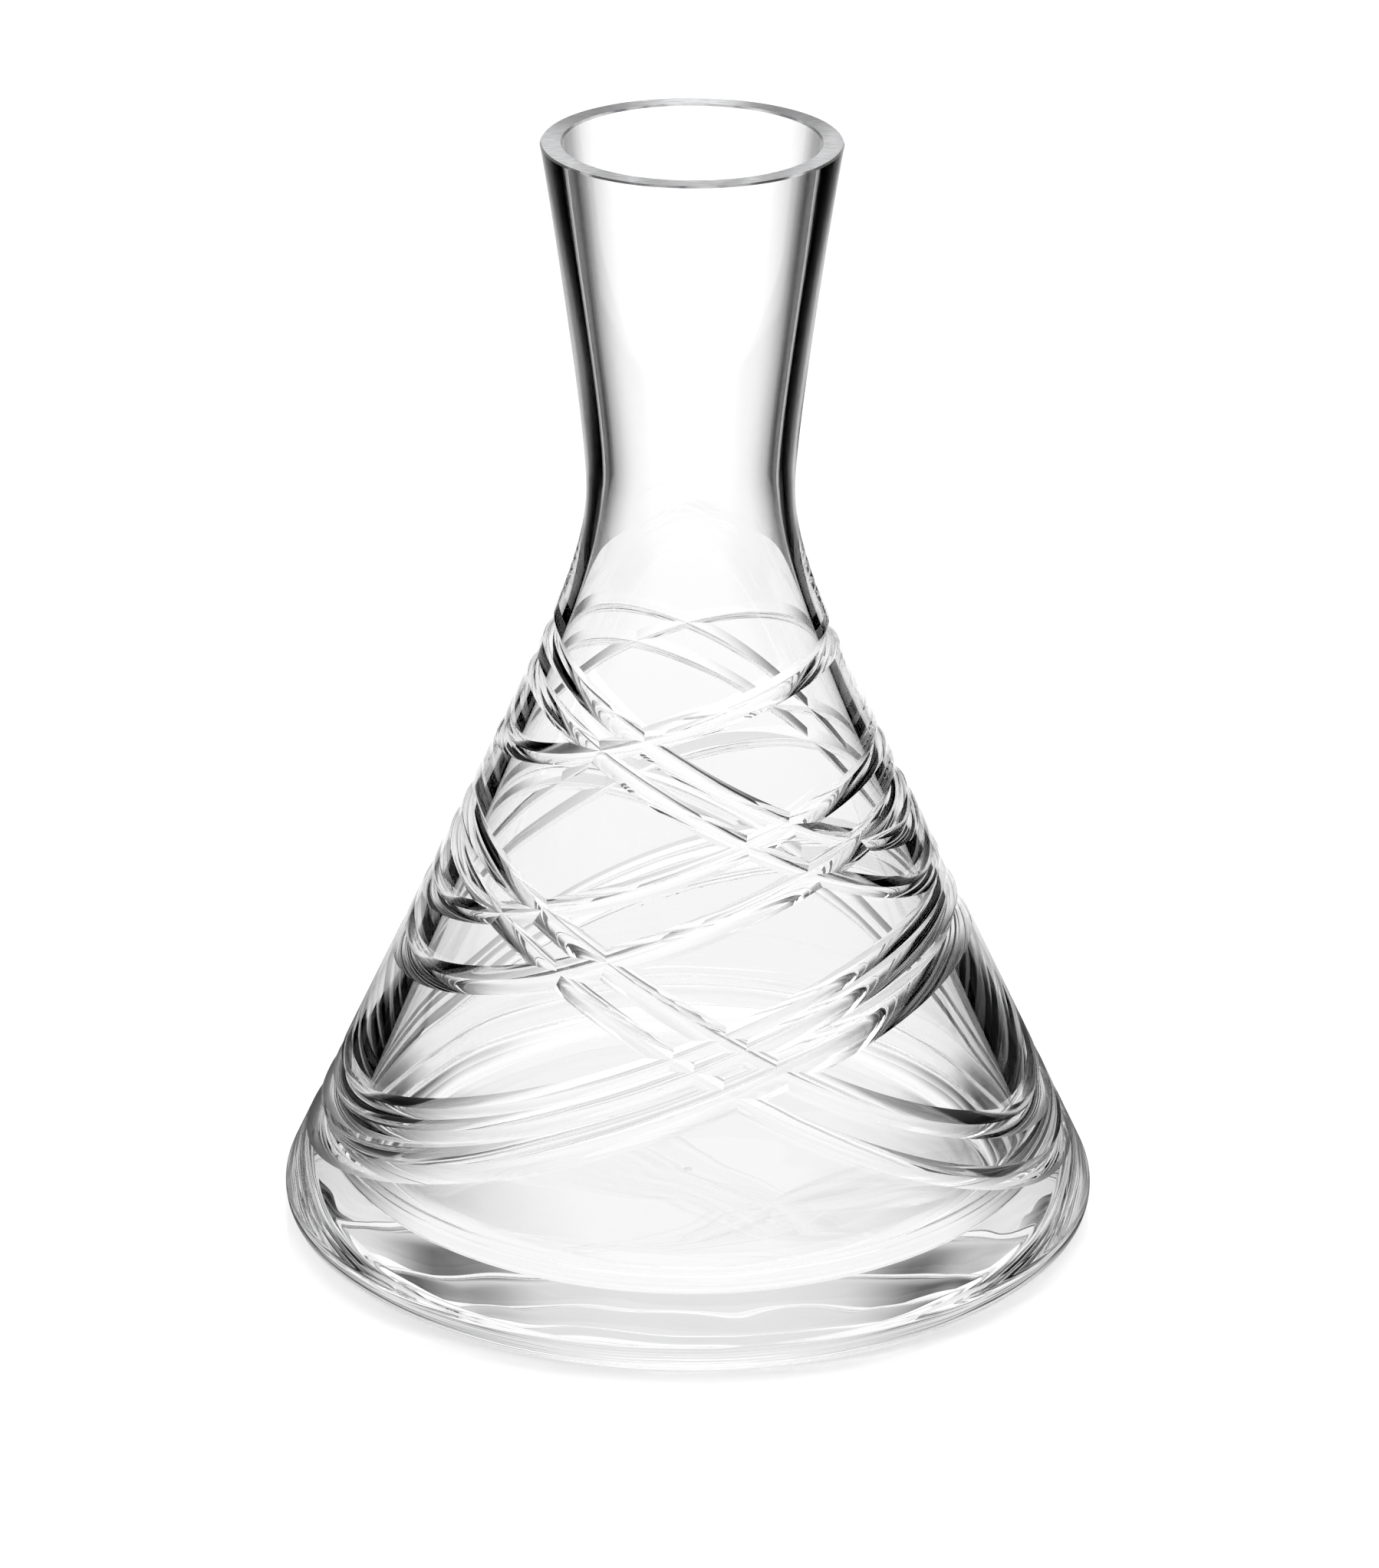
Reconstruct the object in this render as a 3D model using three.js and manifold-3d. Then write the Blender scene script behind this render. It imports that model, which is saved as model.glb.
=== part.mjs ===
// Wine decanter: one heavy piece of blown clear crystal, cut with V grooves.
// Millimetres, +Z up. The origin is the centre of the foot, on the table.
// The front faces -Y, and angles round the axis are counted from the front towards +X.

import * as THREE from 'three';
import { mergeVertices } from 'three/addons/utils/BufferGeometryUtils.js';
import Module from 'manifold-3d';

// Overall size
const HEIGHT = 250;
const FOOT_RADIUS = 86.6;
const FOOT_RING_WIDTH = 8.6;
const PUNT_DEPTH = 1.5;

// Outside of the body: a rounded base edge, a cone, a waist and a flared mouth
const BASE_EDGE_RADIUS = 5.2;
const CONE_APEX_RADIUS = 94.75;
const CONE_SLOPE = 0.46;
const SHOULDER_HEIGHT = 110;
const WAIST_HEIGHT = 172;
const WAIST_RADIUS = 22.95;
const RIM_RADIUS = 32.7;
const RIM_SLOPE = 0.17;
// How far along each end of the outer curves holds on to its direction
const SHOULDER_HOLD = 40;
const WAIST_HOLD_BELOW = 11;
const WAIST_HOLD_ABOVE = 14;
const RIM_HOLD = 11;

// Inside of the body
const FLOOR_THICKNESS = 7.8;
const FLOOR_CORNER_RADIUS = 12;
const CAVITY_APEX_RADIUS = 84.5;
const CAVITY_SLOPE = 0.417;
const THROAT_HEIGHT = 174;
const THROAT_RADIUS = 19.2;
const MOUTH_RADIUS = 27.8;
const MOUTH_SLOPE = 0.121;
// How far along each end of the inner curves holds on to its direction
const THROAT_HOLD_BELOW = 11;
const THROAT_HOLD_ABOVE = 9;
const MOUTH_HOLD = 43;

// The rim is ground flat, with a fine bevel on both edges
const RIM_BEVEL = 0.4;

// Facets round the axis, and steps along each stretch of the section
const SEGMENTS = 40;
const PUNT_STEPS = 2;
const BASE_EDGE_STEPS = 5;
const SHOULDER_STEPS = 6;
const FLARE_STEPS = 5;
const MOUTH_STEPS = 4;
const INNER_SHOULDER_STEPS = 5;
const FLOOR_CORNER_STEPS = 5;

// Each V groove lies where a tilted plane meets the cone. The plane crosses the axis at
// height, rises by tilt for each millimetre outwards, and is highest at the angle high.
const GROOVES = [
  // Lowest band: three grooves side by side
  { height: 50.4, tilt: 0.348, high: 82, width: 8.1 },
  { height: 57.3, tilt: 0.358, high: 82, width: 5.6 },
  { height: 61.3, tilt: 0.362, high: 81, width: 5.0 },
  // Crossing band: two grooves with a narrow land between them
  { height: 64.8, tilt: 0.53, high: -95, width: 5.4 },
  { height: 73.2, tilt: 0.53, high: -93, width: 6.4 },
  // Middle band: two grooves well apart
  { height: 87.4, tilt: 0.352, high: 88, width: 6.5 },
  { height: 98.8, tilt: 0.35, high: 84, width: 5.2 },
  // Upper crossing band
  { height: 113.4, tilt: 0.512, high: -95, width: 4.9 },
  { height: 123.2, tilt: 0.535, high: -99, width: 4.7 },
  // Single groove under the shoulder
  { height: 127.9, tilt: 0.317, high: 85, width: 4.7 },
];

// The valley lies nearer the upper lip, and its depth is a share of the width.
const UPPER_SHARE = 0.44;
const DEPTH_SHARE = 0.34;
// The cutter's sides run on past the wall's surface, to this many times their length in it.
const CUTTER_REACH = 1.6;

const wasm = await Module();
wasm.setup();

const toRadians = THREE.MathUtils.degToRad;
const point = (radius, z) => new THREE.Vector2(radius, z);

// Radius of the outer cone and of the cavity's cone at a height
const coneRadius = (z) => CONE_APEX_RADIUS - CONE_SLOPE * z;
const cavityRadius = (z) => CAVITY_APEX_RADIUS - CAVITY_SLOPE * z;

// A round stretch of the profile, from one angle to another about a centre
function arc(centre, radius, from, to, steps) {
  const points = [];
  for (let i = 0; i <= steps; i += 1) {
    const angle = THREE.MathUtils.lerp(from, to, i / steps);
    points.push(point(centre.x + radius * Math.cos(angle), centre.y + radius * Math.sin(angle)));
  }
  return points;
}

// The outside, from the middle of the underside up to the rim
function outsideProfile() {
  const ringInside = FOOT_RADIUS - FOOT_RING_WIDTH;
  const punt = new THREE.QuadraticBezierCurve(
    point(0, PUNT_DEPTH),
    point(ringInside / 2, PUNT_DEPTH),
    point(ringInside, 0),
  );
  const lean = Math.atan(CONE_SLOPE);
  const edgeCentre = point(
    coneRadius(BASE_EDGE_RADIUS) - BASE_EDGE_RADIUS / Math.cos(lean),
    BASE_EDGE_RADIUS,
  );
  const baseEdge = arc(edgeCentre, BASE_EDGE_RADIUS, -Math.PI / 2, lean, BASE_EDGE_STEPS);
  const shoulder = new THREE.CubicBezierCurve(
    point(coneRadius(SHOULDER_HEIGHT), SHOULDER_HEIGHT),
    point(coneRadius(SHOULDER_HEIGHT + SHOULDER_HOLD), SHOULDER_HEIGHT + SHOULDER_HOLD),
    point(WAIST_RADIUS, WAIST_HEIGHT - WAIST_HOLD_BELOW),
    point(WAIST_RADIUS, WAIST_HEIGHT),
  );
  const flareTop = point(RIM_RADIUS, HEIGHT - RIM_BEVEL);
  const flare = new THREE.CubicBezierCurve(
    point(WAIST_RADIUS, WAIST_HEIGHT),
    point(WAIST_RADIUS, WAIST_HEIGHT + WAIST_HOLD_ABOVE),
    point(flareTop.x - RIM_HOLD * RIM_SLOPE, flareTop.y - RIM_HOLD),
    flareTop,
  );
  return [
    ...punt.getPoints(PUNT_STEPS),
    ...baseEdge,
    ...shoulder.getPoints(SHOULDER_STEPS),
    ...flare.getPoints(FLARE_STEPS).slice(1),
    point(RIM_RADIUS - RIM_BEVEL, HEIGHT),
  ];
}

// The inside, from the rim down to the middle of the floor
function insideProfile() {
  const flareTop = point(MOUTH_RADIUS, HEIGHT - RIM_BEVEL);
  const flare = new THREE.CubicBezierCurve(
    flareTop,
    point(flareTop.x - MOUTH_HOLD * MOUTH_SLOPE, flareTop.y - MOUTH_HOLD),
    point(THROAT_RADIUS, THROAT_HEIGHT + THROAT_HOLD_ABOVE),
    point(THROAT_RADIUS, THROAT_HEIGHT),
  );
  const shoulder = new THREE.CubicBezierCurve(
    point(THROAT_RADIUS, THROAT_HEIGHT),
    point(THROAT_RADIUS, THROAT_HEIGHT - THROAT_HOLD_BELOW),
    point(cavityRadius(SHOULDER_HEIGHT + SHOULDER_HOLD), SHOULDER_HEIGHT + SHOULDER_HOLD),
    point(cavityRadius(SHOULDER_HEIGHT), SHOULDER_HEIGHT),
  );
  const lean = Math.atan(CAVITY_SLOPE);
  const cornerHeight = FLOOR_THICKNESS + FLOOR_CORNER_RADIUS;
  const cornerCentre = point(
    cavityRadius(cornerHeight) - FLOOR_CORNER_RADIUS / Math.cos(lean),
    cornerHeight,
  );
  return [
    point(MOUTH_RADIUS + RIM_BEVEL, HEIGHT),
    ...flare.getPoints(MOUTH_STEPS),
    ...shoulder.getPoints(INNER_SHOULDER_STEPS).slice(1),
    ...arc(cornerCentre, FLOOR_CORNER_RADIUS, lean, -Math.PI / 2, FLOOR_CORNER_STEPS),
    point(0, FLOOR_THICKNESS),
  ];
}

// A closed geometry as a solid, without the empty triangles on a lathe's axis
function toSolid(geometry) {
  geometry.deleteAttribute('normal');
  geometry.deleteAttribute('uv');
  const merged = mergeVertices(geometry);
  const corners = merged.index.array;
  const triangles = [];
  for (let i = 0; i < corners.length; i += 3) {
    const [a, b, c] = corners.slice(i, i + 3);
    if (a !== b && b !== c && c !== a) triangles.push(a, b, c);
  }
  return new wasm.Manifold(new wasm.Mesh({
    numProp: 3,
    vertProperties: new Float32Array(merged.attributes.position.array),
    triVerts: new Uint32Array(triangles),
  }));
}

function toGeometry(solid) {
  const mesh = solid.getMesh();
  const geometry = new THREE.BufferGeometry();
  geometry.setAttribute('position', new THREE.BufferAttribute(mesh.vertProperties, 3));
  geometry.setIndex(new THREE.BufferAttribute(mesh.triVerts, 1));
  geometry.computeVertexNormals();
  return geometry;
}

// Where a groove's valley line meets the cone, at an angle round the axis
function onGroove(groove, angle) {
  const climb = groove.tilt * Math.cos(angle - toRadians(groove.high));
  const z = (groove.height + climb * CONE_APEX_RADIUS) / (1 + climb * CONE_SLOPE);
  const radius = coneRadius(z);
  return new THREE.Vector3(radius * Math.sin(angle), -radius * Math.cos(angle), z);
}

// The V cutter of one groove: a closed ring with a three-cornered section, laid along the
// valley line. Each corner is given as its distance out of the wall and up the wall.
function grooveCutter(groove) {
  const depth = groove.width * DEPTH_SHARE;
  const upper = groove.width * UPPER_SHARE;
  const lower = groove.width - upper;
  const section = [
    { out: -depth, up: 0 },
    { out: depth * (CUTTER_REACH - 1), up: upper * CUTTER_REACH },
    { out: depth * (CUTTER_REACH - 1), up: -lower * CUTTER_REACH },
  ];
  const lean = Math.atan(CONE_SLOPE);
  const positions = [];
  const indices = [];
  for (let i = 0; i < SEGMENTS; i += 1) {
    const angle = (2 * Math.PI * i) / SEGMENTS;
    const halfStep = Math.PI / SEGMENTS;
    const centre = onGroove(groove, angle);
    const along = onGroove(groove, angle + halfStep).sub(onGroove(groove, angle - halfStep));
    const outward = new THREE.Vector3(Math.sin(angle), -Math.cos(angle), Math.tan(lean));
    outward.normalize();
    const upward = outward.clone().cross(along.normalize());
    for (const corner of section) {
      const place = centre.clone();
      place.addScaledVector(outward, corner.out);
      place.addScaledVector(upward, corner.up);
      positions.push(place.x, place.y, place.z);
    }
    const next = (i + 1) % SEGMENTS;
    for (let side = 0; side < 3; side += 1) {
      const turn = (side + 1) % 3;
      const a = 3 * i + side;
      const b = 3 * i + turn;
      const c = 3 * next + turn;
      const d = 3 * next + side;
      indices.push(a, b, c, a, c, d);
    }
  }
  const geometry = new THREE.BufferGeometry();
  geometry.setAttribute('position', new THREE.Float32BufferAttribute(positions, 3));
  geometry.setIndex(indices);
  return geometry;
}

// The blown vessel before it is cut: its whole wall turned round the axis
function blownVessel() {
  const profile = [...outsideProfile(), ...insideProfile()];
  const geometry = new THREE.LatheGeometry(profile, SEGMENTS);
  geometry.rotateX(Math.PI / 2);
  return geometry;
}

function cutVessel() {
  let solid = toSolid(blownVessel());
  for (const groove of GROOVES) {
    solid = solid.subtract(toSolid(grooveCutter(groove)));
  }
  return toGeometry(solid);
}

const crystal = new THREE.MeshStandardMaterial({
  name: 'clear_crystal',
  color: 0xf4f7f8,
  roughness: 0.02,
  metalness: 0,
  transparent: true,
  opacity: 0.35,
  flatShading: true,
});

const vessel = new THREE.Mesh(cutVessel(), crystal);
vessel.name = 'glass_vessel';

const decanter = new THREE.Group();
decanter.name = 'wine_decanter';
decanter.add(vessel);

export default decanter;
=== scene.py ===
"""Looks of the cut crystal wine decanter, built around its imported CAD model.

The vessel is turned again from the same profile and cut with the same V grooves as the CAD
solid, fine enough for clear glass, and it replaces that solid. Metres, +Z up, front at -Y.
"""

import math

import bpy
import numpy as np
from mathutils import Matrix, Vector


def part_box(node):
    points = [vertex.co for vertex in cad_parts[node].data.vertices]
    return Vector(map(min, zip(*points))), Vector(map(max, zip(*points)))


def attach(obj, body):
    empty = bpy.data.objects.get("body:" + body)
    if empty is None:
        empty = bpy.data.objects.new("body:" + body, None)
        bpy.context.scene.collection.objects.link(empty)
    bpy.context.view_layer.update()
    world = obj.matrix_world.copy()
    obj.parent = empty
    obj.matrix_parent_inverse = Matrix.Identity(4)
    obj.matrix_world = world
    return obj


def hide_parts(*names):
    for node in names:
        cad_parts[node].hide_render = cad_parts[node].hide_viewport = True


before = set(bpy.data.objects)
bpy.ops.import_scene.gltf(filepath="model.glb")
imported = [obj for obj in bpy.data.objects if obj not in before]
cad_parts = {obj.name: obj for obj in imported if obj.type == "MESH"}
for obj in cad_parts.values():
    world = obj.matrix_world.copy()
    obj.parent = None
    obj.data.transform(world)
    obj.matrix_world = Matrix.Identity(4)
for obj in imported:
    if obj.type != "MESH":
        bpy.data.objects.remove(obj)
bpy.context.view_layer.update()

# ---- Sizes, in metres, the same as the CAD model's ----

node_low, node_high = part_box("glass_vessel")
HEIGHT = node_high.z - node_low.z
MM = HEIGHT / 250

FOOT_RADIUS = 86.6 * MM
FOOT_RING_WIDTH = 8.6 * MM
PUNT_DEPTH = 1.5 * MM

BASE_EDGE_RADIUS = 5.2 * MM
CONE_APEX_RADIUS = 94.75 * MM
CONE_SLOPE = 0.46
SHOULDER_HEIGHT = 110 * MM
WAIST_HEIGHT = 172 * MM
WAIST_RADIUS = 22.95 * MM
RIM_RADIUS = 32.7 * MM
RIM_SLOPE = 0.17
# How far each curve of the outline keeps the direction it starts or ends with
SHOULDER_HOLD = 40 * MM
WAIST_HOLD_BELOW = 11 * MM
WAIST_HOLD_ABOVE = 14 * MM
RIM_HOLD = 11 * MM

FLOOR_THICKNESS = 7.8 * MM
FLOOR_CORNER_RADIUS = 12 * MM
CAVITY_APEX_RADIUS = 84.5 * MM
CAVITY_SLOPE = 0.417
THROAT_HEIGHT = 174 * MM
THROAT_RADIUS = 19.2 * MM
MOUTH_RADIUS = 27.8 * MM
MOUTH_SLOPE = 0.121
THROAT_HOLD_BELOW = 11 * MM
THROAT_HOLD_ABOVE = 9 * MM
MOUTH_HOLD = 43 * MM
RIM_BEVEL = 0.4 * MM

# Each V groove lies where a tilted plane meets the cone: the plane crosses the axis at
# height, climbs by tilt for each metre outwards, and is highest at the angle high.
GROOVES = [
    {"height": 50.4 * MM, "tilt": 0.348, "high": 82, "width": 8.1 * MM},
    {"height": 57.3 * MM, "tilt": 0.358, "high": 82, "width": 5.6 * MM},
    {"height": 61.3 * MM, "tilt": 0.362, "high": 81, "width": 5.0 * MM},
    {"height": 64.8 * MM, "tilt": 0.53, "high": -95, "width": 5.4 * MM},
    {"height": 73.2 * MM, "tilt": 0.53, "high": -93, "width": 6.4 * MM},
    {"height": 87.4 * MM, "tilt": 0.352, "high": 88, "width": 6.5 * MM},
    {"height": 98.8 * MM, "tilt": 0.35, "high": 84, "width": 5.2 * MM},
    {"height": 113.4 * MM, "tilt": 0.512, "high": -95, "width": 4.9 * MM},
    {"height": 123.2 * MM, "tilt": 0.535, "high": -99, "width": 4.7 * MM},
    {"height": 127.9 * MM, "tilt": 0.317, "high": 85, "width": 4.7 * MM},
]
UPPER_SHARE = 0.44
DEPTH_SHARE = 0.34
CUTTER_REACH = 1.6
# The wheel leaves each side slightly hollow: its slope grows towards the lip.
UPPER_SCOOP = math.radians(4)
LOWER_SCOOP = math.radians(16)

SEGMENTS = 360
FIT_ROUNDS = 3
CONE_LEAN = math.atan(CONE_SLOPE)
CAVITY_LEAN = math.atan(CAVITY_SLOPE)


# ---- The blown wall: a profile turned round the axis ----


def cone_radius(z):
    return CONE_APEX_RADIUS - CONE_SLOPE * z


def cavity_radius(z):
    return CAVITY_APEX_RADIUS - CAVITY_SLOPE * z


def arc(centre, radius, start, end, steps):
    angles = np.linspace(start, end, steps + 1)
    return [(centre[0] + radius * math.cos(a), centre[1] + radius * math.sin(a)) for a in angles]


def bezier(*corners, steps):
    """Points along a quadratic or cubic Bezier curve."""
    points = []
    degree = len(corners) - 1
    for t in np.linspace(0, 1, steps + 1):
        weights = [math.comb(degree, k) * t**k * (1 - t) ** (degree - k) for k in range(degree + 1)]
        points.append(tuple(sum(w * c[i] for w, c in zip(weights, corners)) for i in range(2)))
    return points


def straight(start, end, steps):
    return bezier(start, end, steps=steps)


def profile_stretches():
    """The wall's section as stretches that are smooth inside and meet at crisp edges."""
    ring_inside = FOOT_RADIUS - FOOT_RING_WIDTH
    punt = bezier((0, PUNT_DEPTH), (ring_inside / 2, PUNT_DEPTH), (ring_inside, 0), steps=12)
    edge_centre = (
        cone_radius(BASE_EDGE_RADIUS) - BASE_EDGE_RADIUS / math.cos(CONE_LEAN),
        BASE_EDGE_RADIUS,
    )
    foot = straight((ring_inside, 0), (edge_centre[0], 0), 2)
    edge = arc(edge_centre, BASE_EDGE_RADIUS, -math.pi / 2, CONE_LEAN, 16)
    cone = straight(edge[-1], (cone_radius(SHOULDER_HEIGHT), SHOULDER_HEIGHT), 6)
    handle = SHOULDER_HEIGHT + SHOULDER_HOLD
    shoulder = bezier(
        cone[-1],
        (cone_radius(handle), handle),
        (WAIST_RADIUS, WAIST_HEIGHT - WAIST_HOLD_BELOW),
        (WAIST_RADIUS, WAIST_HEIGHT),
        steps=24,
    )
    flare_top = (RIM_RADIUS, HEIGHT - RIM_BEVEL)
    flare = bezier(
        shoulder[-1],
        (WAIST_RADIUS, WAIST_HEIGHT + WAIST_HOLD_ABOVE),
        (flare_top[0] - RIM_HOLD * RIM_SLOPE, flare_top[1] - RIM_HOLD),
        flare_top,
        steps=20,
    )
    outer_lip = (RIM_RADIUS - RIM_BEVEL, HEIGHT)
    inner_lip = (MOUTH_RADIUS + RIM_BEVEL, HEIGHT)
    mouth = (MOUTH_RADIUS, HEIGHT - RIM_BEVEL)
    throat = bezier(
        mouth,
        (mouth[0] - MOUTH_HOLD * MOUTH_SLOPE, mouth[1] - MOUTH_HOLD),
        (THROAT_RADIUS, THROAT_HEIGHT + THROAT_HOLD_ABOVE),
        (THROAT_RADIUS, THROAT_HEIGHT),
        steps=24,
    )
    inner_shoulder = bezier(
        throat[-1],
        (THROAT_RADIUS, THROAT_HEIGHT - THROAT_HOLD_BELOW),
        (cavity_radius(handle), handle),
        (cavity_radius(SHOULDER_HEIGHT), SHOULDER_HEIGHT),
        steps=24,
    )
    corner_height = FLOOR_THICKNESS + FLOOR_CORNER_RADIUS
    corner_centre = (
        cavity_radius(corner_height) - FLOOR_CORNER_RADIUS / math.cos(CAVITY_LEAN),
        corner_height,
    )
    corner = arc(corner_centre, FLOOR_CORNER_RADIUS, CAVITY_LEAN, -math.pi / 2, 24)
    wall = straight(inner_shoulder[-1], corner[0], 14)
    floor = straight(corner[-1], (0, FLOOR_THICKNESS), 10)
    outside = foot + edge[1:] + cone[1:] + shoulder[1:] + flare[1:]
    inside = throat + inner_shoulder[1:] + wall[1:] + corner[1:] + floor[1:]
    return {
        "punt": punt,
        "outside": outside,
        "outer_bevel": [flare_top, outer_lip],
        "rim": straight(outer_lip, inner_lip, 4),
        "inner_bevel": [inner_lip, mouth],
        "inside": inside,
    }


def turned_mesh(stretches):
    """A closed mesh of the profile turned round the axis, with a material for each stretch."""
    sections = []
    slots = []
    for slot, points in enumerate(stretches.values()):
        for start, end in zip(points, points[1:]):
            sections.append(start)
            slots.append(slot)
    sections.append(list(stretches.values())[-1][-1])
    angles = 2 * math.pi * np.arange(SEGMENTS) / SEGMENTS
    vertices = []
    rings = []
    for radius, z in sections:
        if radius < 1e-9:
            rings.append([len(vertices)] * SEGMENTS)
            vertices.append((0.0, 0.0, z))
            continue
        rings.append(list(range(len(vertices), len(vertices) + SEGMENTS)))
        vertices.extend((radius * math.sin(a), -radius * math.cos(a), z) for a in angles)
    faces = []
    face_slots = []
    for i, slot in enumerate(slots):
        for j in range(SEGMENTS):
            k = (j + 1) % SEGMENTS
            corners = [rings[i][j], rings[i][k], rings[i + 1][k], rings[i + 1][j]]
            faces.append(list(dict.fromkeys(corners)))
            face_slots.append(slot)
    mesh = bpy.data.meshes.new("blown_wall")
    mesh.from_pydata(vertices, [], faces)
    for name in stretches:
        mesh.materials.append(bpy.data.materials.new(name))
    mesh.polygons.foreach_set("material_index", face_slots)
    return mesh


# ---- The cut grooves ----


def on_groove(groove, angle):
    """Radius and height of the groove's valley line on the uncut cone."""
    climb = groove["tilt"] * np.cos(angle - math.radians(groove["high"]))
    z = (groove["height"] + climb * CONE_APEX_RADIUS) / (1 + climb * CONE_SLOPE)
    radius = cone_radius(z)
    return np.stack([radius * np.sin(angle), -radius * np.cos(angle), z], axis=-1)


def groove_axes(groove, angle):
    """The valley line's place, the way out of the wall and the way up the wall."""
    step = math.pi / SEGMENTS
    along = on_groove(groove, angle + step) - on_groove(groove, angle - step)
    along /= np.linalg.norm(along, axis=-1, keepdims=True)
    lean = np.full_like(angle, math.tan(CONE_LEAN))
    outward = np.stack([np.sin(angle), -np.cos(angle), lean], axis=-1)
    outward /= np.linalg.norm(outward, axis=-1, keepdims=True)
    return on_groove(groove, angle), outward, np.cross(outward, along)


def groove_section(groove):
    """Depth of the valley, and how far its upper and lower lips are along the wall."""
    upper = groove["width"] * UPPER_SHARE
    return groove["width"] * DEPTH_SHARE, upper, groove["width"] - upper


def cutter_mesh(groove, number):
    """A closed ring with a three-cornered section, and a material for each of its sides."""
    depth, upper, lower = groove_section(groove)
    rise = depth * (CUTTER_REACH - 1)
    section = [(-depth, 0), (rise, upper * CUTTER_REACH), (rise, -lower * CUTTER_REACH)]
    angle = 2 * math.pi * np.arange(SEGMENTS) / SEGMENTS
    centre, outward, upward = groove_axes(groove, angle)
    corners = [centre + outward * out + upward * up for out, up in section]
    vertices = np.stack(corners, axis=1).reshape(-1, 3)
    faces = []
    slots = []
    for i in range(SEGMENTS):
        k = (i + 1) % SEGMENTS
        for side in range(3):
            turn = (side + 1) % 3
            faces.append([3 * i + side, 3 * i + turn, 3 * k + turn, 3 * k + side])
            slots.append(side)
    mesh = bpy.data.meshes.new(f"cutter_{number}")
    mesh.from_pydata(vertices.tolist(), [], faces)
    for side in ("upper", "top", "lower"):
        mesh.materials.append(bpy.data.materials.new(f"{side}_{number}"))
    mesh.polygons.foreach_set("material_index", slots)
    return mesh


def cut_vessel():
    """The blown wall with every groove cut out of it, and the name of each face's surface."""
    blank = bpy.data.objects.new("blown_wall", turned_mesh(profile_stretches()))
    bpy.context.scene.collection.objects.link(blank)
    cutters = []
    for number, groove in enumerate(GROOVES):
        cutter = bpy.data.objects.new(f"cutter_{number}", cutter_mesh(groove, number))
        bpy.context.scene.collection.objects.link(cutter)
        cutters.append(cutter)
        cut = blank.modifiers.new(cutter.name, "BOOLEAN")
        cut.operation = "DIFFERENCE"
        cut.solver = "MANIFOLD"
        cut.material_mode = "TRANSFER"
        cut.object = cutter
    graph = bpy.context.evaluated_depsgraph_get()
    mesh = bpy.data.meshes.new_from_object(blank.evaluated_get(graph))
    for thing in [blank] + cutters:
        spare = thing.data
        bpy.data.objects.remove(thing)
        bpy.data.meshes.remove(spare)
    names = [material.name for material in mesh.materials]
    surfaces = np.array([names[face.material_index] for face in mesh.polygons])
    mesh.materials.clear()
    for name in names:
        bpy.data.materials.remove(bpy.data.materials[name])
    return mesh, surfaces


# ---- Exact surface directions, so that the glass bends light without facets ----


def turned_normals(points, stretch):
    """Directions square to a turned stretch at points near it."""
    section = np.array(stretch)
    middles = (section[1:] + section[:-1]) / 2
    runs = section[1:] - section[:-1]
    runs /= np.linalg.norm(runs, axis=1, keepdims=True)
    along = np.vstack([runs[:1], runs[1:] + runs[:-1], runs[-1:]])
    along /= np.linalg.norm(along, axis=1, keepdims=True)
    radius = np.hypot(points[:, 0], points[:, 1])
    place = np.stack([radius, points[:, 2]], axis=1)
    nearest = np.empty(len(place), int)
    for first in range(0, len(place), 20000):
        some = place[first : first + 20000]
        gaps = ((some[:, None] - middles[None]) ** 2).sum(-1)
        nearest[first : first + 20000] = gaps.argmin(axis=1)
    start = section[nearest]
    length = np.linalg.norm(section[nearest + 1] - start, axis=1)
    share = np.clip(((place - start) * runs[nearest]).sum(1) / length, 0, 1)[:, None]
    tangent = along[nearest] * (1 - share) + along[nearest + 1] * share
    out = tangent[:, 1]
    up = -tangent[:, 0]
    scale = out / np.maximum(radius, 1e-9)
    return np.stack([points[:, 0] * scale, points[:, 1] * scale, up], axis=1)


def facet_normals(points, groove, side):
    """Directions square to one side of a groove at points on it."""
    angle = np.arctan2(points[:, 0], -points[:, 1])
    step = math.pi / SEGMENTS
    for _ in range(FIT_ROUNDS):
        centre, outward, upward = groove_axes(groove, angle)
        run = on_groove(groove, angle + step) - on_groove(groove, angle - step)
        speed = np.linalg.norm(run, axis=1)
        ahead = ((points - centre) * run).sum(axis=1) / speed
        angle = angle + ahead * 2 * step / speed
    centre, outward, upward = groove_axes(groove, angle)
    depth, upper, lower = groove_section(groove)
    up = ((points - centre) * upward).sum(axis=1)
    if side == "upper":
        upward = -upward
        reach = up / upper
        slope = math.atan2(depth, upper)
        scoop = UPPER_SCOOP
    else:
        reach = -up / lower
        slope = math.atan2(depth, lower)
        scoop = LOWER_SCOOP
    slope = slope + scoop * (2 * np.clip(reach, 0, 1) - 1)
    return outward * np.cos(slope)[:, None] + upward * np.sin(slope)[:, None]


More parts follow.
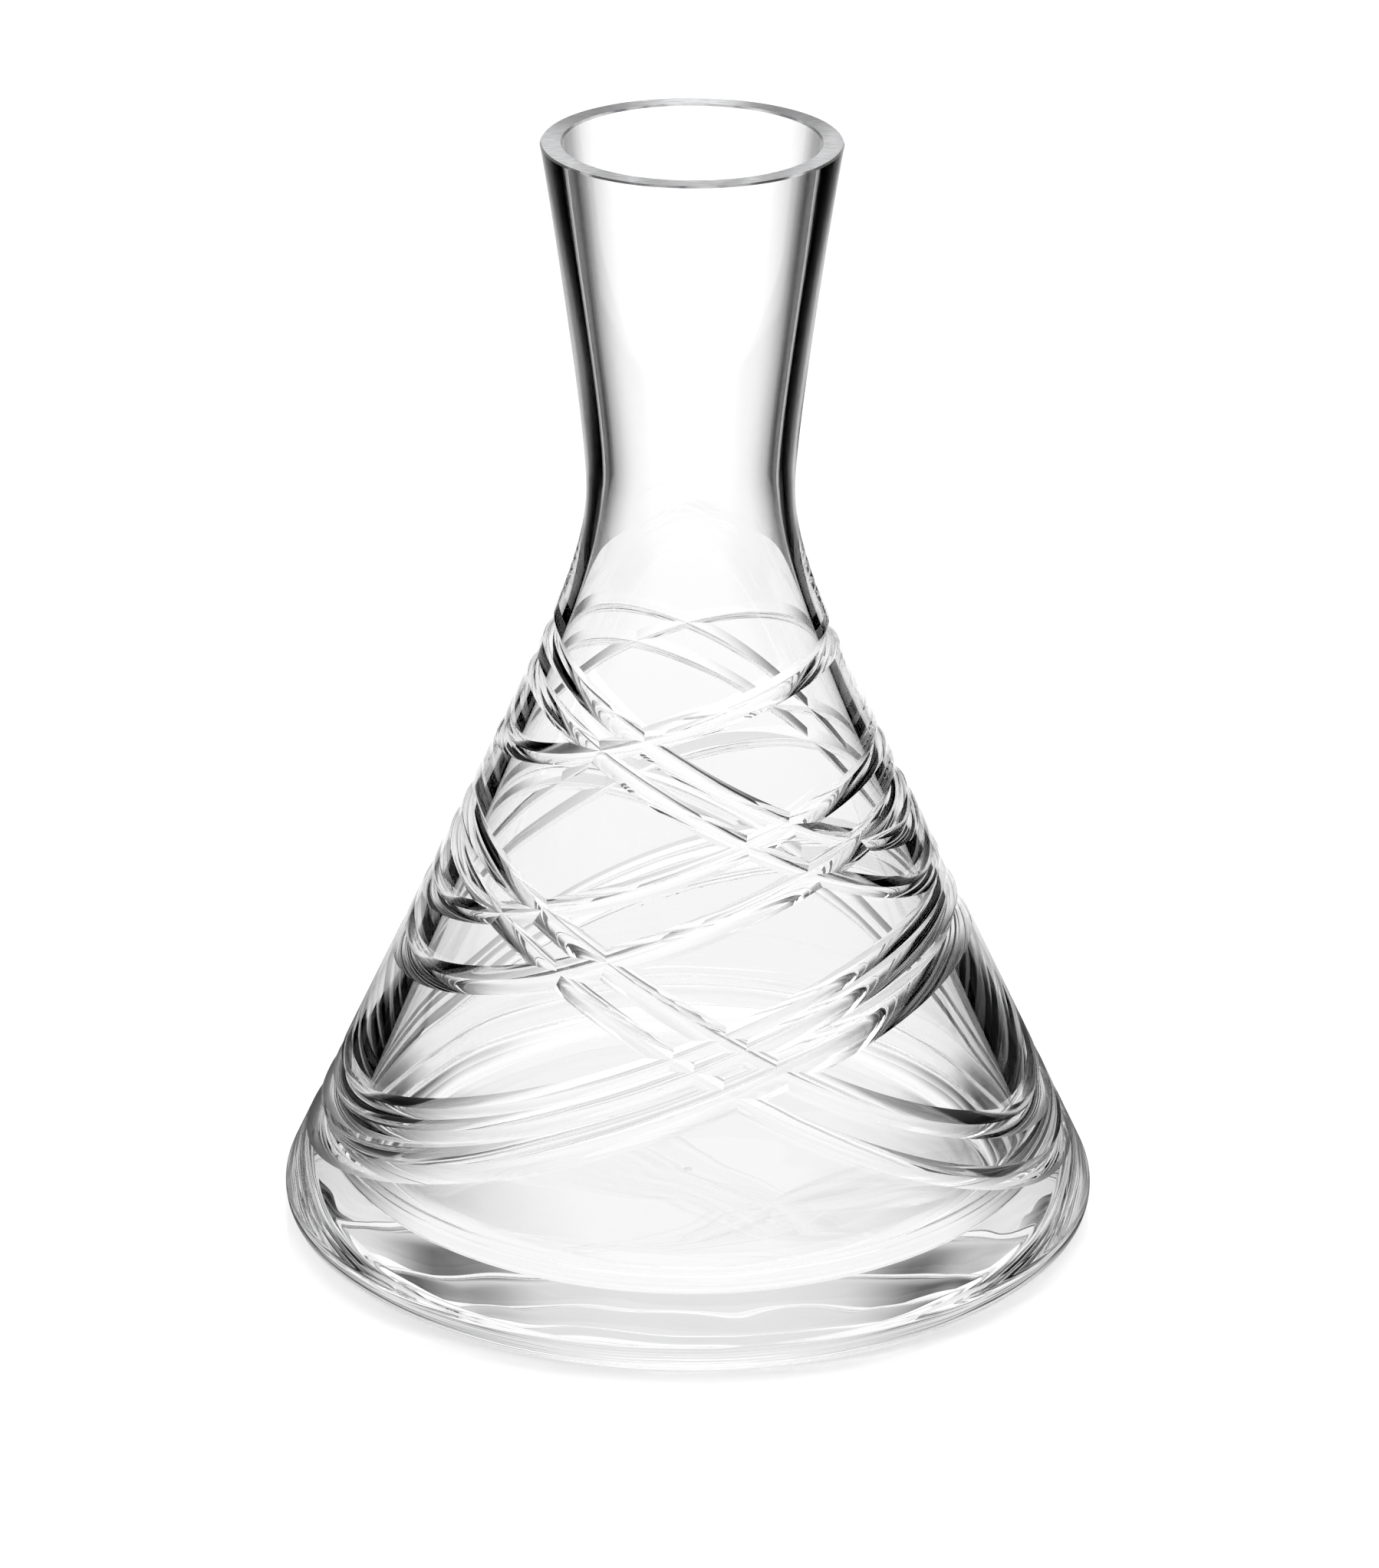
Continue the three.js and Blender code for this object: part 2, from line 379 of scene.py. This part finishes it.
def set_normals(mesh, surfaces, stretches):
    """Gives every corner of the mesh the exact direction of the surface its face is on."""
    corners = len(mesh.loops)
    corner_vertex = np.empty(corners, int)
    mesh.loops.foreach_get("vertex_index", corner_vertex)
    places = np.empty(len(mesh.vertices) * 3)
    mesh.vertices.foreach_get("co", places)
    places = places.reshape(-1, 3)[corner_vertex]
    face_size = np.empty(len(mesh.polygons), int)
    mesh.polygons.foreach_get("loop_total", face_size)
    corner_surface = np.repeat(surfaces, face_size)
    normals = np.zeros((corners, 3))
    for surface in np.unique(surfaces):
        chosen = corner_surface == surface
        if surface in stretches:
            normals[chosen] = turned_normals(places[chosen], stretches[surface])
        else:
            side, number = surface.split("_")
            normals[chosen] = facet_normals(places[chosen], GROOVES[int(number)], side)
    normals /= np.linalg.norm(normals, axis=1, keepdims=True)
    mesh.polygons.foreach_set("use_smooth", [True] * len(mesh.polygons))
    mesh.normals_split_custom_set(normals.tolist())


# ---- Materials ----


def new_material(name):
    """A node material and its Principled shader."""
    material = bpy.data.materials.new(name)
    material.use_nodes = True
    shader = material.node_tree.nodes["Principled BSDF"]
    return material, shader


def add_node(material, kind, **settings):
    node = material.node_tree.nodes.new(kind)
    for name, value in settings.items():
        setattr(node, name, value)
    return node


def noise(material, scale, detail=2.0, stretch=(1, 1, 1), turn=0.0):
    """A noise texture in the object's own metres, stretched and turned about the axis."""
    links = material.node_tree.links
    place = add_node(material, "ShaderNodeTexCoord")
    mapping = add_node(material, "ShaderNodeMapping")
    mapping.inputs["Scale"].default_value = stretch
    mapping.inputs["Rotation"].default_value = (0, 0, turn)
    texture = add_node(material, "ShaderNodeTexNoise")
    texture.inputs["Scale"].default_value = scale
    texture.inputs["Detail"].default_value = detail
    links.new(place.outputs["Object"], mapping.inputs["Vector"])
    links.new(mapping.outputs["Vector"], texture.inputs["Vector"])
    return texture.outputs["Fac"]


def bump(material, shader, height, distance):
    """Raises a surface by up to the distance where the height is 1."""
    node = add_node(material, "ShaderNodeBump")
    node.inputs["Strength"].default_value = 1
    node.inputs["Distance"].default_value = distance
    material.node_tree.links.new(height, node.inputs["Height"])
    material.node_tree.links.new(node.outputs["Normal"], shader.inputs["Normal"])


def crystal(name, roughness=0.0):
    """Clear crystal glass and its shader."""
    material, shader = new_material(name)
    shader.inputs["Base Color"].default_value = (1, 1, 1, 1)
    shader.inputs["Roughness"].default_value = roughness
    shader.inputs["IOR"].default_value = 1.545
    shader.inputs["Transmission Weight"].default_value = 1
    return material, shader


def paint_shade(material, shader, pattern, dark, light):
    """Paints shade into a shader's colour, between a dark and a light grey along a pattern."""
    tones = add_node(material, "ShaderNodeValToRGB")
    first, last = tones.color_ramp.elements
    first.position = 0.35
    first.color = (*dark, 1)
    last.position = 0.65
    last.color = (*light, 1)
    links = material.node_tree.links
    links.new(pattern, tones.inputs["Fac"])
    links.new(tones.outputs["Color"], shader.inputs["Base Color"])


def polished_material():
    """Fire-polished glass, with the slight waves that blowing leaves in the wall."""
    material, shader = crystal("crystal_polished")
    waves = noise(material, scale=28, detail=1, stretch=(1, 1, 0.5))
    bump(material, shader, waves, distance=0.0004)
    return material


def cut_material():
    """Acid-polished cuts, with faint ripples from the wheel."""
    material, shader = crystal("crystal_cut")
    ripples = noise(material, scale=220, detail=1, stretch=(0.4, 0.4, 1))
    bump(material, shader, ripples, distance=0.00003)
    return material


def ground_material():
    """The rim's flat: fine-ground satin with its grinding's brush marks, in painted grey shade."""
    material, shader = crystal("crystal_ground", roughness=0.3)
    marks = noise(material, scale=1500, detail=3, stretch=(0.2, 1, 1), turn=math.radians(35))
    # Painted shade: the clear glass is coloured grey, varying along the brush marks, which also
    # bump it
    paint_shade(material, shader, marks, (0.3, 0.31, 0.33), (0.78, 0.79, 0.81))
    bump(material, shader, marks, distance=0.00004)
    return material


def arris_material():
    """The rim's narrow bevels: painted shade that looks dark, with painted glints as bright breaks.
    """
    material, shader = crystal("crystal_arris", roughness=0.15)
    painted_glints = noise(material, scale=110, detail=2)
    # Painted shade: nearly black glass, with lighter grey painted glints along the noise
    paint_shade(material, shader, painted_glints, (0.02, 0.02, 0.025), (0.5, 0.5, 0.52))
    return material


# ---- The vessel ----

vessel_mesh, surfaces = cut_vessel()
set_normals(vessel_mesh, surfaces, profile_stretches())
# Polished and cut finishes, and the rim's ground flat and bevels, whose colour holds painted shade
finishes_and_painted_shade = [polished_material(), cut_material(), ground_material(), arris_material()]
for surface_material in finishes_and_painted_shade:
    vessel_mesh.materials.append(surface_material)
POLISHED, CUT, GROUND, ARRIS = range(4)
is_cut = np.char.startswith(surfaces, "upper_") | np.char.startswith(surfaces, "lower_")
material_of = np.where(is_cut, CUT, POLISHED)
material_of[surfaces == "rim"] = GROUND
material_of[np.char.endswith(surfaces, "_bevel")] = ARRIS
vessel_mesh.polygons.foreach_set("material_index", material_of)
vessel_mesh.name = "crystal_vessel"
vessel = bpy.data.objects.new("crystal_vessel", vessel_mesh)
bpy.context.scene.collection.objects.link(vessel)
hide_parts("glass_vessel")
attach(vessel, "root")


# ---- Floor and studio ----


def flat_mesh(name, corners):
    mesh = bpy.data.meshes.new(name)
    mesh.from_pydata(corners, [], [list(range(len(corners)))])
    thing = bpy.data.objects.new(name, mesh)
    bpy.context.scene.collection.objects.link(thing)
    return thing


# The sheet of painted floor light lies on the floor, and both lie just below the foot.
PAINTED_FLOOR_HEIGHT = -0.0002
FLOOR_HEIGHT = -0.0004
FLOOR_REACH = 9

corners = ((-1, -1), (1, -1), (1, 1), (-1, 1))
floor = flat_mesh("floor", [(FLOOR_REACH * x, FLOOR_REACH * y, FLOOR_HEIGHT) for x, y in corners])
floor_material, floor_shader = new_material("white_floor")
floor_shader.inputs["Base Color"].default_value = (0.4, 0.4, 0.4, 1)
floor_shader.inputs["Roughness"].default_value = 0.12
floor_shader.inputs["IOR"].default_value = 1.33
floor_shader.inputs["Emission Color"].default_value = (1, 1, 1, 1)
floor_shader.inputs["Emission Strength"].default_value = 0.55
floor_material.cycles.emission_sampling = "NONE"
floor.data.materials.append(floor_material)

# Screens stand close round the decanter, as they do for a photograph of glass on white, and a
# sheet under it glows with painted floor light and painted shadow. Only the polished and cut
# glass sees them. Angles are in degrees off straight back.
WINDOW_LEVEL = 1.12
FLOOR_LEVEL = 1.0
WALL_LEVEL = 0.85
SIDE_DISTANCE = 0.12
BACK_DISTANCE = 0.2
SCREEN_TOP = 0.6
BACK_SCREEN_FOOT = 0.095
LOW_SCREEN_TOP = 0.03
FRONT_SCREEN_TOP = 0.18
FAR_DISTANCE = 1.5
FAR_ANGLE = 100
FAR_ELEVATION = 36
PAINTED_FLOOR_RADII = [
    0.001, 0.03, 0.042, 0.05, 0.058, 0.066, 0.07, 0.075, 0.08, 0.084,
    0.088, 0.093, 0.1, 0.11, 0.125, 0.15, 0.2, 0.25, 0.3, 0.45, 0.6, 0.9, 1.2, FAR_DISTANCE,
]

# Where each change of light starts and ends: over angles first, then over radii
WINDOW_SIDE = (9, 28)
BESIDE_START = (50, 64)
BESIDE_END = (95, 128)
SHADE_START = (20, 43)
HORIZON_START = (8, 34)
FRONT = (100, 130)
BESIDE_REACH = (0.045, 0.085)
SHADE_REACH = (0.1, 0.125)
HORIZON_REACH = (0.6, 1.2)
LEVEL_REACH = (0.12, 0.45)
# Painted shade beside the base, and the painted shadow of the side screens, on the sheet under the
# decanter
BESIDE_SHADE = 0.92
FAR_SHADE = 0.96
FAR_SHADE_AFTER_TWO_WALLS = 0.2

# The far wall: a low panel, a wider high one, and a dark gap on each side of its middle
LOW_PANEL_SIDE = (8, 34)
HIGH_PANEL_SIDE = (50, 64)
HIGH_PANEL_RISE = (11, 17)
GAP_RISE = (17, 26)
GAP_DEPTH = 0.85
GAP_ANGLE = 19
GAP_WIDTH = 7
FAR_OPENING = (64, 66)

# How many glass surfaces light has crossed after one wall of the decanter, and after two
ONE_WALL = 2
TWO_WALLS = 4


def ramp(value, start, end):
    """Smooth step from 0 at start to 1 at end."""
    share = min(max((value - start) / (end - start), 0), 1)
    return share * share * (3 - 2 * share)


def between(value, start, end):
    """Rises from 0 to 1 over start, and falls back to 0 over end."""
    return ramp(value, *start) * (1 - ramp(value, *end))


def window_brightness(angle):
    """The window in the back screen: bright in the middle, fading to dark at its sides."""
    return WINDOW_LEVEL * (1 - ramp(abs(angle), *WINDOW_SIDE))


def painted_floor_brightness(angle, radius):
    """Painted floor light, with painted shade under the base at the sides and towards the horizon.
    """
    angle = abs(angle)
    near = BESIDE_SHADE * between(angle, BESIDE_START, BESIDE_END) * ramp(radius, *BESIDE_REACH)
    horizon = between(angle, HORIZON_START, FRONT) * ramp(radius, *HORIZON_REACH)
    level = FLOOR_LEVEL + (WINDOW_LEVEL - FLOOR_LEVEL) * ramp(radius, *LEVEL_REACH)
    return level * (1 - near) * (1 - horizon)


def painted_screen_shadow(angle, radius):
    """Painted shadow of the side screens on the floor."""
    return FAR_SHADE * between(abs(angle), SHADE_START, FRONT) * ramp(radius, *SHADE_REACH)


def far_brightness(angle, elevation):
    """The wall behind: a bright panel, with a dark gap on each side of its middle."""
    angle = abs(angle)
    low = 1 - ramp(angle, *LOW_PANEL_SIDE)
    dip = math.exp(-(((angle - GAP_ANGLE) / GAP_WIDTH) ** 2))
    gap = GAP_DEPTH * ramp(elevation, *GAP_RISE) * dip
    high = (1 - ramp(angle, *HIGH_PANEL_SIDE)) * (1 - gap)
    share = ramp(elevation, *HIGH_PANEL_RISE)
    return WALL_LEVEL * (low * (1 - share) + high * share)


def screen_material():
    """Shines as bright as stated for light straight off the polished glass. Where it is marked
    open, it lets through the light that has crossed both walls."""
    material = bpy.data.materials.new("screen")
    material.use_nodes = True
    links = material.node_tree.links
    material.node_tree.nodes.clear()
    bright = add_node(material, "ShaderNodeAttribute", attribute_name="bright")
    is_open = add_node(material, "ShaderNodeAttribute", attribute_name="open")
    path = add_node(material, "ShaderNodeLightPath")
    crossed = add_node(material, "ShaderNodeMath", operation="GREATER_THAN")
    crossed.inputs[1].default_value = (ONE_WALL + TWO_WALLS) / 2
    passes = add_node(material, "ShaderNodeMath", operation="MULTIPLY")
    stops = add_node(material, "ShaderNodeMath", operation="SUBTRACT")
    stops.inputs[0].default_value = 1
    seen = add_node(material, "ShaderNodeMath", operation="MULTIPLY")
    emission = add_node(material, "ShaderNodeEmission")
    clear = add_node(material, "ShaderNodeBsdfTransparent")
    mix = add_node(material, "ShaderNodeMixShader")
    output = add_node(material, "ShaderNodeOutputMaterial")
    links.new(bright.outputs["Fac"], emission.inputs["Strength"])
    links.new(path.outputs["Transmission Depth"], crossed.inputs[0])
    links.new(crossed.outputs[0], passes.inputs[0])
    links.new(is_open.outputs["Fac"], passes.inputs[1])
    links.new(passes.outputs[0], stops.inputs[1])
    links.new(stops.outputs[0], seen.inputs[0])
    links.new(path.outputs["Is Singular Ray"], seen.inputs[1])
    links.new(seen.outputs[0], mix.inputs[0])
    links.new(clear.outputs[0], mix.inputs[1])
    links.new(emission.outputs[0], mix.inputs[2])
    links.new(mix.outputs[0], output.inputs["Surface"])
    material.cycles.emission_sampling = "NONE"
    return material


def painted_floor_material():
    """Shines with painted floor light, as bright as stated. Where it is marked shade it is darker,
    with painted shadow, mostly to light that has only crossed one wall."""
    material = bpy.data.materials.new("mat")
    material.use_nodes = True
    links = material.node_tree.links
    material.node_tree.nodes.clear()
    bright = add_node(material, "ShaderNodeAttribute", attribute_name="bright")
    shade = add_node(material, "ShaderNodeAttribute", attribute_name="shade")
    path = add_node(material, "ShaderNodeLightPath")
    crossing = add_node(material, "ShaderNodeMapRange")
    crossing.inputs["From Min"].default_value = ONE_WALL
    crossing.inputs["From Max"].default_value = TWO_WALLS
    crossing.inputs["To Min"].default_value = 1
    crossing.inputs["To Max"].default_value = FAR_SHADE_AFTER_TWO_WALLS
    links.new(path.outputs["Transmission Depth"], crossing.inputs["Value"])
    lost = add_node(material, "ShaderNodeMath", operation="MULTIPLY")
    kept = add_node(material, "ShaderNodeMath", operation="SUBTRACT")
    kept.inputs[0].default_value = 1
    left = add_node(material, "ShaderNodeMath", operation="MULTIPLY")
    links.new(crossing.outputs["Result"], lost.inputs[0])
    links.new(shade.outputs["Fac"], lost.inputs[1])
    links.new(lost.outputs[0], kept.inputs[1])
    links.new(bright.outputs["Fac"], left.inputs[0])
    links.new(kept.outputs[0], left.inputs[1])
    emission = add_node(material, "ShaderNodeEmission")
    clear = add_node(material, "ShaderNodeBsdfTransparent")
    mix = add_node(material, "ShaderNodeMixShader")
    output = add_node(material, "ShaderNodeOutputMaterial")
    links.new(left.outputs[0], emission.inputs["Strength"])
    links.new(path.outputs["Is Singular Ray"], mix.inputs[0])
    links.new(clear.outputs[0], mix.inputs[1])
    links.new(emission.outputs[0], mix.inputs[2])
    links.new(mix.outputs[0], output.inputs["Surface"])
    material.cycles.emission_sampling = "NONE"
    return material


def add_screen(name, material, rows, attributes=("bright", "open")):
    """A sheet from rows of points, each with a value for every attribute."""
    columns = len(rows[0])
    points = [point[:3] for row in rows for point in row]
    faces = []
    for r in range(len(rows) - 1):
        for c in range(columns - 1):
            first = r * columns + c
            faces.append([first, first + 1, first + columns + 1, first + columns])
    mesh = bpy.data.meshes.new(name)
    mesh.from_pydata(points, [], faces)
    for column, attribute in enumerate(attributes, start=3):
        values = mesh.attributes.new(attribute, "FLOAT", "POINT")
        values.data.foreach_set("value", [float(p[column]) for row in rows for p in row])
    mesh.materials.append(material)
    sheet = bpy.data.objects.new(name, mesh)
    bpy.context.scene.collection.objects.link(sheet)
    sheet.visible_camera = False
    sheet.visible_diffuse = False
    sheet.visible_shadow = False


def round_point(radius, angle, z, *values):
    turn = math.radians(angle)
    return (radius * math.sin(turn), radius * math.cos(turn), z, *values)


def add_back_screen(material):
    end_angle = math.degrees(math.asin(SIDE_DISTANCE / BACK_DISTANCE))
    angles = np.linspace(-end_angle, end_angle, 61)
    rows = []
    for z in (BACK_SCREEN_FOOT, SCREEN_TOP):
        rows.append([round_point(BACK_DISTANCE, a, z, window_brightness(a), 0) for a in angles])
    add_screen("back_screen", material, rows)


def add_round_screens(material):
    """Dark screens on both sides, joined by a half round in front that is lower."""
    corner = math.sqrt(BACK_DISTANCE**2 - SIDE_DISTANCE**2)
    front = []
    for angle in np.linspace(0, math.pi, 25):
        front.append((SIDE_DISTANCE * math.cos(angle), -SIDE_DISTANCE * math.sin(angle)))
    plan = [(SIDE_DISTANCE, corner)] + front + [(-SIDE_DISTANCE, corner)]
    low = [[(x, y, z, 0, 0) for x, y in plan] for z in (0, LOW_SCREEN_TOP)]
    add_screen("low_screen", material, low)
    middle = [[(x, y, z, 0, 1) for x, y in plan] for z in (LOW_SCREEN_TOP, FRONT_SCREEN_TOP)]
    add_screen("round_screen", material, middle)
    for name, x in (("left_screen", -SIDE_DISTANCE), ("right_screen", SIDE_DISTANCE)):
        side = [[(x, y, z, 0, 1) for y in (0, corner)] for z in (FRONT_SCREEN_TOP, SCREEN_TOP)]
        add_screen(name, material, side)


# Lays the sheet of painted floor light and painted shadow under the decanter.
def add_painted_floor_light(material):
    rows = []
    for radius in PAINTED_FLOOR_RADII:
        row = []
        for angle in np.linspace(-180, 180, 91):
            bright = painted_floor_brightness(angle, radius)
            shade = painted_screen_shadow(angle, radius)
            row.append(round_point(radius, angle, PAINTED_FLOOR_HEIGHT, bright, shade))
        rows.append(row)
    add_screen("mat", material, rows, ("bright", "shade"))


def add_far_wall(material):
    rows = []
    for elevation in np.linspace(0, FAR_ELEVATION, 19):
        z = FAR_DISTANCE * math.tan(math.radians(elevation))
        row = []
        for angle in np.linspace(-FAR_ANGLE, FAR_ANGLE, 101):
            bright = far_brightness(angle, elevation)
            is_open = ramp(abs(angle), *FAR_OPENING)
            row.append(round_point(FAR_DISTANCE, angle, z, bright, is_open))
        rows.append(row)
    add_screen("far_wall", material, rows)


screen_surface = screen_material()
add_back_screen(screen_surface)
add_round_screens(screen_surface)
add_painted_floor_light(painted_floor_material())
add_far_wall(screen_surface)

world = bpy.data.worlds.new("studio")
bpy.context.scene.world = world
world.use_nodes = True
background = world.node_tree.nodes["Background"]
background.inputs["Color"].default_value = (1, 1, 1, 1)
background.inputs["Strength"].default_value = 1.2


overhead_data = bpy.data.lights.new("overhead", "AREA")
overhead_data.size = 1
overhead_data.energy = 10
overhead = bpy.data.objects.new("overhead", overhead_data)
overhead.location = (0.2, 0.5, 1.6)
overhead.rotation_euler = (-overhead.location).to_track_quat("-Z", "Y").to_euler()
bpy.context.scene.collection.objects.link(overhead)


# ---- Camera ----

CAMERA_PLACE = (0, -1.321, 0.6513)
CAMERA_PITCH = math.radians(22.62)
CAMERA_ROLL = math.radians(0.24)

camera_data = bpy.data.cameras.new("camera")
camera_data.lens = 147.3
camera_data.sensor_width = 36
camera_data.clip_start = 0.05
camera = bpy.data.objects.new("camera", camera_data)
camera.matrix_world = (
    Matrix.Translation(CAMERA_PLACE)
    @ Matrix.Rotation(math.pi / 2 - CAMERA_PITCH, 4, "X")
    @ Matrix.Rotation(CAMERA_ROLL, 4, "Z")
)
bpy.context.scene.collection.objects.link(camera)
bpy.context.scene.camera = camera
bpy.context.scene.view_settings.view_transform = "Standard"

# The thick base passes light on by many inner reflections.
BOUNCES = 40
light_paths = bpy.context.scene.cycles
light_paths.max_bounces = BOUNCES
light_paths.glossy_bounces = BOUNCES
light_paths.transmission_bounces = BOUNCES
